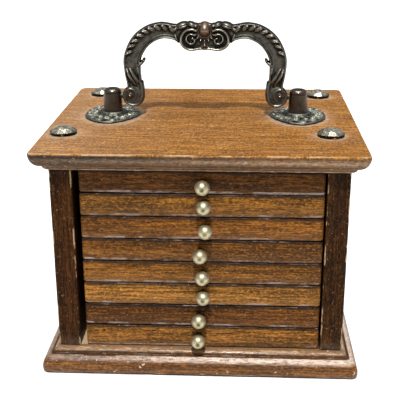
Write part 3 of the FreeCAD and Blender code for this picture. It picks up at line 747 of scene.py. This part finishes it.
def stud(middle, rim, seed):
    """One hammered nail head: a thin faceted dome with an uneven rim on a short shank."""
    radius, tall, rings, steps = 5.08, 2.58, 15, 72
    ball = (radius ** 2 + tall ** 2) / (2 * tall)
    planes = hammer_planes(random.Random(seed), ball, tall)
    outer, inner, relief = [], [], []
    for ring in range(rings + 1):
        share = (ring / rings) ** 0.85
        for step in range(steps):
            turn = 2 * math.pi * step / steps
            x, y = radius * share * math.cos(turn), radius * share * math.sin(turn)
            heights = sorted(peak - steep * (x * math.cos(way) + y * math.sin(way))
                             for way, steep, peak in planes)
            wave = 0.08 * math.sin(turn * 3 + seed) * share ** 4
            height = max(heights[0], 0.40) + wave
            outer.append((x, y, min(height, tall)))
            inner.append((x, y, max(0.02 + wave, height - 0.45)))
            ridge = math.exp((heights[0] - heights[1]) / 0.05)
            relief.append(0.60 + 0.32 * ridge - 0.45 * max(0.0, share - 0.90) / 0.10)
    faces = skin(rings + 1, steps, turned=True, capped=False)
    shell = len(outer)
    faces += [tuple(index + shell for index in face[::-1]) for face in faces]
    last = rings * steps
    for step in range(steps):
        near, after = last + step, last + (step + 1) % steps
        faces.append((near, shell + near, shell + after, after))
    head = (np.array(outer + inner), faces, np.array(relief + [0.05] * shell))
    shank = lathe([(0.05, -4.0, 0.2), (0.9, -2.4, 0.2), (1.0, -0.7, 0.2), (1.9, -0.66, 0.45),
                   (1.9, 0.3, 0.4), (1.0, 0.9, 0.1)], 24)
    nub = lathe([(0.05, -0.66, 0.6), (0.55, -0.62, 0.8), (0.7, -0.3, 0.9), (0.5, 0.05, 0.6),
                 (0.05, 0.2, 0.3)], 16)
    nub[0][:] += np.array([1.2 * math.cos(seed), -4.0, 0])
    points, faces, relief = join_parts([head, shank, nub])
    return points + np.array([middle[0], middle[1], rim]), faces, relief


def studs(metal):
    rim = node_box("top_board")[1][2] + 0.7
    parts = [stud(middle, rim, 5 + index) for index, middle in enumerate(stud_middles())]
    points, faces, relief = join_parts(parts)
    piece = make_mesh("hammered_studs", points, faces, smooth=False, relief=relief)
    install(piece, metal, "case", "corner_studs")


def curl_ridges(x, y, curls):
    """Height of small raised rings, each (x, y, radius)."""
    height = np.zeros(len(x))
    for middle_x, middle_y, radius in curls:
        away = np.hypot(x - middle_x, y - middle_y)
        height = np.maximum(height, bell(away, radius, 0.32))
        height = np.maximum(height, 0.9 * bell(away, 0, 0.38))
    return height


def rosette(side, metal):
    """A cast foliate plate under a post: curling leaves round a collar, with a pointed inner end."""
    name = "rosette_" + side
    low, high, _, _ = node_box(name)
    tall = high[2] - low[2]
    centre = node_box("handle_post_" + side)[2][:2]
    outline = node_points(name)
    outline = outline[outline[:, 2] < low[2] + 0.2][:, :2] - centre
    reach = np.hypot(*outline.T)
    outline, reach = outline[reach > 7.0], reach[reach > 7.0]
    turns = np.arctan2(outline[:, 1], outline[:, 0])
    order = np.argsort(turns)
    steps, rings = 220, 56
    around = np.linspace(-math.pi, math.pi, steps, endpoint=False)
    rim = np.interp(around, turns[order], reach[order], period=2 * math.pi) - 0.1
    scallop = 0.35 * np.abs(np.sin(around * 9 + 0.6)) ** 1.5
    shares = np.linspace(0.12, 1, rings)
    away = (shares[:, None] * (rim - scallop * 0.6)[None, :]).ravel()
    angle = np.tile(around, rings)
    x, y = away * np.cos(angle), away * np.sin(angle)
    to_rim = np.tile(rim, rings) * (1 - np.repeat(shares, steps))

    curls = []
    for turn in np.arange(15) * 2 * math.pi / 15 + 0.2:
        span = np.interp(turn, np.concatenate([around, around + 2 * math.pi]), np.tile(rim, 2))
        curls.append(((span - 2.3) * math.cos(turn), (span - 2.3) * math.sin(turn), 1.15))
        if span > 10:
            inner = (span + 5) / 2 - 0.6
            curls.append((inner * math.cos(turn + 0.2), inner * math.sin(turn + 0.2), 0.95))
    leaves = 0.5 + 0.5 * np.cos(angle * 15 + 2.2 * np.sin(away * 0.8))
    flat = np.stack([x, y, np.zeros(len(x))], axis=1)
    grit = 0.6 * ripple(flat, 0.75, 4) + 0.4 * ripple(flat, 1.6, 5)
    pattern = 0.80 * curl_ridges(x, y, curls) + 0.22 * leaves * (away > 5.6) + 0.75 * grit
    pattern = np.where(to_rim < 0.9, 0.22 + 0.18 * bell(to_rim, 0.45, 0.35) + 0.3 * grit, pattern)
    pattern = np.clip(pattern, -0.4, 1.0)
    height = 0.60 + 0.68 * pattern
    height = np.where(to_rim < 0.5, height * (1 - 0.35 * (1 - to_rim / 0.5) ** 2), height)
    collar = np.clip((5.3 - away) / 0.25, 0, 1)
    height = np.minimum(height * (1 - collar) + (tall - 0.08) * collar, tall)
    relief = np.where(collar > 0.1, 0.35, 0.22 + 0.66 * pattern)

    points = np.stack([x, y, height], axis=1)
    skirt = points[-steps:] * np.array([1, 1, 0]) + np.array([0, 0, 0.25])
    tucked = points[-steps:] * np.array([0.97, 0.97, 0])
    points = np.concatenate([points, skirt, tucked]) + np.array([*centre, low[2]])
    # The edge and the underside get a low value: painted shadow.
    relief = np.concatenate([relief, np.full(2 * steps, 0.05)])
    piece = make_mesh("rosette_cast_" + side, points, skin(rings + 2, steps, turned=True), relief=relief)
    install(piece, metal, "case", name)


# ---- the bail ----


def curve_through(points, per_span=8):
    """A smooth line through the given points."""
    points = [np.array(p, dtype=float) for p in points]
    ends = [2 * points[0] - points[1]] + points + [2 * points[-1] - points[-2]]
    line = []
    for index in range(1, len(ends) - 2):
        a, b, c, d = ends[index - 1:index + 3]
        for step in range(per_span):
            t = step / per_span
            line.append(0.5 * (2 * b + (c - a) * t + (2 * a - 5 * b + 4 * c - d) * t * t
                               + (3 * b - a - 3 * c + d) * t ** 3))
    line.append(points[-1])
    return np.array(line)


def distance_to(x, z, line):
    """Distance of each (x, z) from a line of points, and how far along it the nearest place is."""
    best = np.full(len(x), 1e9)
    where = np.zeros(len(x))
    for index in range(len(line) - 1):
        ax, az = line[index]
        bx, bz = line[index + 1]
        run = max((bx - ax) ** 2 + (bz - az) ** 2, 1e-12)
        t = np.clip(((x - ax) * (bx - ax) + (z - az) * (bz - az)) / run, 0, 1)
        away = np.hypot(x - ax - t * (bx - ax), z - az - t * (bz - az))
        nearer = away < best
        best = np.where(nearer, away, best)
        where = np.where(nearer, (index + t) / (len(line) - 1), where)
    return best, where


def within(x, z, loop):
    """Whether each (x, z) lies inside a closed loop."""
    inside = np.zeros(len(x), dtype=bool)
    for (ax, az), (bx, bz) in zip(loop, np.roll(loop, -1, axis=0)):
        if az == bz:
            continue
        crosses = (az > z) != (bz > z)
        at = ax + (z - az) * (bx - ax) / (bz - az)
        inside ^= crosses & (x < at)
    return inside


def dome(value):
    """A round back over a half width of 1."""
    return np.sqrt(np.clip(1 - value ** 2, 0, None))


class Relief:
    """A flat casting: half its thickness and its silhouette over the (x, z) plane, in millimetres."""

    def __init__(self, x, z):
        self.x, self.z = x, z
        self.height = np.zeros(len(x))
        self.shape = np.full(len(x), -1e9)
        self.copper = np.zeros(len(x))

    def add(self, height, shape):
        self.height = np.maximum(self.height, height)
        self.shape = np.maximum(self.shape, shape)

    def leaf(self, x, z, long, wide, degrees, height, copper=0.0, vein=0.0):
        turn = math.radians(degrees)
        u = (self.x - x) * math.cos(turn) + (self.z - z) * math.sin(turn)
        v = -(self.x - x) * math.sin(turn) + (self.z - z) * math.cos(turn)
        q = np.hypot(u / long, v / wide)
        raised = height * dome(np.minimum(q, 1)) - vein * np.exp(-((v / 0.22) ** 2)) * (q < 0.85)
        self.add(raised, (1 - q) * min(long, wide))
        self.copper = np.maximum(self.copper, copper * np.clip(1.4 - q, 0, 1))

    def stroke(self, points, wide, height, taper=0.0):
        away, where = distance_to(self.x, self.z, curve_through(points))
        width = wide * (1 - taper * where)
        self.add(height * dome(np.minimum(away / width, 1)), width - away)


def rope_places(outline, first_x, last_z, pitch, inset):
    """Places along a line, a set way inside it, with the direction of the line there."""
    places, travelled = [], 0.0
    for (ax, az), (bx, bz) in zip(outline, outline[1:]):
        run = math.hypot(bx - ax, bz - az)
        if ax < first_x or az < last_z or run == 0:
            continue
        travelled += run
        if travelled >= pitch or not places:
            travelled = 0.0
            across, up = (bx - ax) / run, (bz - az) / run
            places.append((ax + up * inset, az - across * inset, math.degrees(math.atan2(up, across))))
    return places


# Lines of the bail's right half, as (distance from the middle, height over the pivot).
OUTER_EDGE = [(-3, 29.4), (0, 29.4), (4.5, 29.0), (8, 28.7), (12, 28.8), (17, 29.5), (22.3, 28.4),
              (27.1, 25.4), (30.4, 21.2), (32.5, 15.4), (32.3, 9.5), (31.4, 4.6), (31.6, 2.0)]
INNER_EDGE = [(24.4, -0.5), (24.7, 2.0), (25.4, 6.0), (25.7, 11), (25.3, 15.4), (22.2, 20.2),
              (17.4, 22.9), (12.6, 22.6), (8.6, 20.4), (4.5, 19.0), (0, 19.0), (-3, 19.0)]
LARGE_SCROLL = [(3.3, 26.4), (5.2, 26.9), (7.8, 26.0), (9.3, 23.4), (8.6, 20.6), (6.0, 19.1),
                (3.2, 19.3), (1.4, 19.6)]
SMALL_SCROLL = [(4.0, 24.7), (5.6, 25.1), (7.0, 24.2), (7.1, 22.6), (5.9, 21.4), (4.4, 21.6),
                (3.9, 22.8), (5.0, 23.5)]
FOOT_SCROLL = [(25.6, 5.4), (25.2, 2.5), (25.2, 0.0), (25.9, -2.2), (27.7, -3.5), (30.1, -3.5),
               (32.0, -2.2), (32.7, 0.2), (31.9, 2.3), (29.9, 3.0), (28.1, 1.9), (27.8, -0.1),
               (28.9, -1.5)]
PIVOT_X, FOOT_RADIUS = 28.85, 4.5


def bail_relief(x, z):
    """The whole ornament for the right half; x is the distance from the middle."""
    cast = Relief(x, z)
    outer, inner = curve_through(OUTER_EDGE), curve_through(INNER_EDGE)
    to_outer, _ = distance_to(x, z, outer)
    to_inner, _ = distance_to(x, z, inner)
    inside = within(x, z, np.concatenate([outer, inner]))
    depth = np.where(inside, 1, -1) * np.minimum(to_outer, to_inner)
    cast.add(1.7 * dome(np.clip(1 - depth / 0.8, 0, 1)) * inside, depth)
    beside = inside & (x > 11)
    for height, away, middle, wide in ((2.45, to_outer, 0.55, 0.55), (2.35, to_inner, 0.5, 0.5),
                                       (2.05, to_inner, 1.55, 0.33)):
        cast.add(height * dome(np.clip((away - middle) / wide, -1, 1)) * beside, depth)

    strands = rope_places(outer, 12.4, 18.0, 2.7, 1.85)
    for index, (at_x, at_z, tangent) in enumerate(strands):
        fade = 1 - 0.45 * index / len(strands)
        lean = tangent + 40
        tip_x = at_x + 0.9 * math.cos(math.radians(lean))
        tip_z = at_z + 0.9 * math.sin(math.radians(lean))
        cast.leaf(at_x, at_z, 1.4 + 1.2 * fade, 0.65 + 0.55 * fade, lean, 3.2, vein=0.6)
        cast.leaf(tip_x, tip_z, 1.1, 0.8 * fade + 0.1, lean, 3.5, copper=0.15)

    # The leaves and the scrolls beside the middle.
    cast.leaf(8.8, 28.2, 2.9, 1.55, -16, 3.3, vein=0.7)
    cast.leaf(11.6, 26.8, 1.7, 0.9, -40, 3.0, vein=0.3)
    cast.leaf(5.0, 28.6, 2.1, 1.15, 24, 3.3, vein=0.5)
    cast.leaf(3.4, 28.3, 1.0, 0.95, 60, 3.4)
    cast.stroke(LARGE_SCROLL, 0.85, 3.3)
    cast.stroke(SMALL_SCROLL, 0.68, 3.3, 0.25)
    cast.leaf(11.2, 23.4, 2.2, 0.75, 68, 2.7)
    for index in range(7):
        turn = math.radians(-90 + (index - 3) * 24)
        cast.leaf(3.9 * math.cos(turn), 26.0 + 3.7 * math.sin(turn), 1.25, 0.52, math.degrees(turn), 3.1)
    # The boss and the drop under it.
    cast.leaf(0, 26.5, 3.1, 3.35, 0, 2.7)
    cast.leaf(0, 26.5, 2.6, 2.9, 0, 3.8, copper=1.0)
    cast.leaf(0, 20.7, 1.0, 1.25, 0, 3.5, copper=0.8)
    cast.leaf(0, 19.2, 1.5, 0.7, 0, 2.9, copper=0.3)
    # The long leaf and the spur low on the arm.
    cast.leaf(28.9, 7.9, 4.9, 1.9, 63, 3.2, vein=1.3)
    cast.leaf(30.2, 8.4, 3.6, 0.75, 68, 3.3, copper=0.2)
    cast.leaf(27.5, 7.6, 3.4, 0.65, 58, 3.1)
    cast.leaf(26.6, 10.2, 2.6, 0.6, 80, 2.8)
    cast.leaf(25.9, 13.0, 2.5, 0.80, 140, 2.9, vein=0.3)
    cast.leaf(24.4, 14.5, 0.95, 0.65, 110, 2.8)

    to_rim = FOOT_RADIUS - np.hypot(x - PIVOT_X, z)
    cast.add(2.0 * dome(np.clip(1 - to_rim, 0, 1)) * (to_rim > 0), to_rim)
    cast.stroke(FOOT_SCROLL, 0.95, 2.45, 0.5)
    cast.leaf(30.1, 0.4, 1.15, 1.15, 0, 3.5, copper=0.5)
    return cast


def blurred(grid, reach):
    """Mean of each cell's neighbourhood, two box passes."""
    span = 2 * reach + 1
    for _ in range(4):
        padded = np.pad(grid, [(reach + 1, reach), (0, 0)], mode="edge")
        total = np.cumsum(padded, axis=0)
        grid = ((total[span:] - total[:-span]) / span).T
    return grid


def bail(metal):
    """The cast bail, front and back alike, with its two pivot pins."""
    low, high, _, _ = node_box("bail")
    hinge = next(joint for joint in frame["joints"] if joint["name"] == "bail_hinge")
    step = 0.17
    columns = np.arange(-33.6, 33.6 + step, step)
    rows = np.arange(-4.8, 30.3, step)
    grid_x, grid_z = np.meshgrid(columns, rows, indexing="ij")
    cast = bail_relief(np.abs(grid_x.ravel()), grid_z.ravel())
    shape, height, copper = np.array([cast.shape, cast.height, cast.copper]).reshape(3, *grid_x.shape)

    # The points just outside the silhouette are pulled onto it, so that its edge is smooth.
    kept = shape > 0
    cells = kept[:-1, :-1] | kept[1:, :-1] | kept[:-1, 1:] | kept[1:, 1:]
    touched = np.zeros_like(kept)
    for i, j in ((0, 0), (1, 0), (0, 1), (1, 1)):
        touched[i:kept.shape[0] - 1 + i, j:kept.shape[1] - 1 + j] |= cells
    rim = touched & ~kept
    slope_x, slope_z = np.gradient(shape, step)
    steep = np.maximum(slope_x ** 2 + slope_z ** 2, 0.3)
    pull = np.clip(-shape / steep, 0, 1.3 * step) * rim
    grid_x = grid_x + pull * slope_x
    grid_z = grid_z + pull * slope_z

    flat = np.stack([grid_x.ravel(), grid_z.ravel(), np.zeros(grid_x.size)], axis=1)
    pits = (0.045 * ripple(flat, 0.9, 3) + 0.03 * ripple(flat, 2.6, 6)).reshape(height.shape)
    height = 0.5 * (height + blurred(height, 1)) + pits * (height > 0.6)
    height = np.where(kept, np.clip(height, 0.05, 3.8), 0)
    standing = blurred(np.where(kept, height, 2.5), 4)
    relief = np.clip(0.37 + 0.62 * (height - standing) + 0.09 * (height - 1.75), 0, 1)
    relief = np.where(rim | (height < 1.0), 0.30, relief)

    def both(values, sign=1):
        """The values of the front half, then those of the back half, which shares its rim."""
        return np.concatenate([sign * values[touched], values[kept]])

    front = np.full(height.shape, -1)
    front[touched] = np.arange(touched.sum())
    back = front.copy()
    back[kept] = touched.sum() + np.arange(kept.sum())
    faces = []
    for i, j in zip(*np.nonzero(cells)):
        near = (front[i, j], front[i + 1, j], front[i + 1, j + 1], front[i, j + 1])
        far = (back[i, j], back[i, j + 1], back[i + 1, j + 1], back[i + 1, j])
        faces.append(tuple(int(index) for index in near))
        faces.append(tuple(int(index) for index in far))
    points = np.stack([both(grid_x), both(height, -1), both(grid_z)], axis=1)
    parts = [(points, faces, both(relief), both(copper))]

    points, faces, relief = lathe([(1.2, 0, 0.4), (1.2, 0.4, 0.7), (1.0, 0.6, 0.2), (1.2, 0.8, 0.6),
                                   (1.2, 2.5, 0.5), (0.9, 2.7, 0.5)], 28)
    points = points[:, [2, 0, 1]] + np.array([high[0] - 2.7, 0, 0])
    for sign in (-1, 1):
        parts.append((points * np.array([sign, sign, 1]), faces, relief, np.zeros(len(relief))))
    points, faces, relief, copper = join_parts(parts)
    points = points + np.array(hinge["pos_m"]) / MM
    points[:, 1:] = np.clip(points[:, 1:], low[1:], high[1:])
    piece = make_mesh("cast_bail", points, faces, relief=relief, copper=copper)
    install(piece, metal, "bail", "bail")


# ---- CAD nodes that stay ----


def steel():
    made = Shader("worn_steel")
    scratches = made.noise((6.0, 0.6, 6.0), (1, 2, 3), 4, 0.7)
    mottle = made.noise(0.8, (4, 5, 6), 5, 0.65)
    colour = made.lay((0.20, 0.18, 0.15), (0.46, 0.44, 0.40), mottle, 0.35, 0.65)
    colour = made.lay(colour, (0.62, 0.60, 0.56), scratches, 0.6, 0.75, 0.6)
    normal = made.bump((mottle, 0.3, 0.08), (scratches, 0.4, 0.03))
    rough = made.band(mottle, 0.3, 0.7, 0.45, 0.30)
    return made.finish(Base_Color=colour, Metallic=0.95, Roughness=rough, Normal=normal)


def dress(name, material):
    """Gives a CAD node its finish."""
    materials = frame["nodes"][name].data.materials
    materials.clear()
    materials.append(material)


# ---- light, floor and camera ----


def studio_floor():
    """A plain pale floor, wide enough to reach the horizon."""
    reach, drop, count = 12000, -0.05, 24
    places = np.linspace(-reach, reach, count + 1)
    points = [(x, y, drop) for x in places for y in places]
    faces = []
    for i in range(count):
        for j in range(count):
            a = i * (count + 1) + j
            faces.append((a, a + count + 1, a + count + 2, a + 1))
    made = Shader("studio_floor")
    colour = made.mix(made.noise(0.01, (0, 0, 0), 3, 0.5), (0.90, 0.90, 0.90), (0.93, 0.93, 0.93))
    piece = make_mesh("studio_floor", points, faces, smooth=False)
    piece.data.materials.append(made.finish(Base_Color=colour, Roughness=0.9, Specular_IOR_Level=0.1))


def surroundings():
    """A pale studio all round, with a white backdrop where the camera looks past the case."""
    world = bpy.data.worlds.new("studio")
    world.use_nodes = True
    tree = world.node_tree
    surround = tree.nodes["Background"]
    backdrop = tree.nodes.new("ShaderNodeBackground")
    seen = tree.nodes.new("ShaderNodeLightPath")
    either = tree.nodes.new("ShaderNodeMixShader")
    surround.inputs["Strength"].default_value = 0.26
    sources = (seen.outputs["Is Camera Ray"], surround.outputs[0], backdrop.outputs[0])
    for index, source in enumerate(sources):
        tree.links.new(source, either.inputs[index])
    for background in (surround, backdrop):
        background.inputs["Color"].default_value = (1, 1, 1, 1)
    tree.links.new(either.outputs[0], tree.nodes["World Output"].inputs["Surface"])
    bpy.context.scene.world = world


def lamp(name, kind, energy, toward, place=(0, 0, 0)):
    """A warm white light that shines along toward."""
    data = bpy.data.lights.new(name, kind)
    data.energy = energy
    data.color = (1.0, 0.99, 0.97)
    holder = place_object(name, data)
    holder.location = place
    holder.rotation_euler = Vector(toward).to_track_quat("-Z", "Y").to_euler()
    return data


def lights():
    """A soft sun from the front and above, and a long soft box over the lid for the gloss."""
    fall = math.radians(61)
    sun = lamp("key", "SUN", 4.1, (-0.01, math.cos(fall), -math.sin(fall)))
    sun.angle = math.radians(4)
    gloss = lamp("gloss", "AREA", 3.2, (0.0, -0.02, -0.85), (0.0, 0.02, 0.85))
    gloss.shape = "RECTANGLE"
    gloss.size, gloss.size_y = 0.55, 0.28


def camera():
    """Stands where the photographer stood: a little right of the middle and looking down on the lid."""
    eye = (0.015016, -0.330450, 0.170952)
    pitch, yaw, roll = math.radians(19.765), math.radians(-2.777), math.radians(-0.172)
    ahead = Vector((math.sin(yaw) * math.cos(pitch), math.cos(yaw) * math.cos(pitch), -math.sin(pitch)))
    right = Vector((math.cos(yaw), -math.sin(yaw), 0))
    up = right.cross(ahead)
    turned = right * math.cos(roll) + up * math.sin(roll)
    upright = -right * math.sin(roll) + up * math.cos(roll)
    data = bpy.data.cameras.new("camera")
    data.lens, data.sensor_width = 75.6035, 36.0
    data.shift_x, data.shift_y = -0.006, -0.0015
    data.clip_start, data.clip_end = 0.01, 20
    seat = place_object("camera", data)
    seat.matrix_world = Matrix.Translation(eye) @ Matrix((turned, upright, -ahead)).transposed().to_4x4()
    bpy.context.scene.camera = seat


# ---- put together ----


def metals():
    """The finish of each kind of metal piece."""
    return {
        "knob": old_metal("aged_brass", 1, 0.50, (0.56, 0.51, 0.34), (0.315, 0.28, 0.17),
                          (0.040, 0.032, 0.018)),
        "bail": old_metal("antique_bronze", 2, 0.36, (0.30, 0.285, 0.24), (0.134, 0.129, 0.110),
                          (0.014, 0.013, 0.010), tint=(0.24, 0.155, 0.11)),
        "post": old_metal("post_bronze", 3, 0.30, (0.17, 0.14, 0.115), (0.080, 0.062, 0.048),
                          (0.014, 0.010, 0.008)),
        "rosette": old_metal("cast_pewter", 4, 0.44, (0.64, 0.62, 0.54), (0.172, 0.175, 0.142),
                             (0.010, 0.012, 0.009)),
        "stud": old_metal("hammered_nickel", 5, 0.22, (0.94, 0.89, 0.75), (0.38, 0.35, 0.26),
                          (0.03, 0.024, 0.016)),
    }


def build():
    metal = metals()
    top_board()
    base_board()
    panel("side_panel_left", 0.9, 11, (0.064, 0.0215, 0.0027), (0.026, 0.008, 0.0010))
    panel("side_panel_right", 0.9, 13, (0.062, 0.0232, 0.0038), (0.022, 0.0078, 0.0013))
    panel("back_panel", 0.6, 14, (0.080, 0.030, 0.008), (0.031, 0.011, 0.003))
    lining = cork()
    for number in TRAYS:
        tray(number)
        knob(number, metal["knob"])
        dress("tray_liner_%d" % number, lining)
    dress("base_felt", felt())
    screws = steel()
    dress("base_screws", screws)
    dress("post_screws", screws)
    studs(metal["stud"])
    for side in ("left", "right"):
        post(side, metal["post"])
        rosette(side, metal["rosette"])
    bail(metal["bail"])
    studio_floor()
    surroundings()
    lights()
    camera()
    bpy.context.scene.view_settings.view_transform = "Standard"


build()
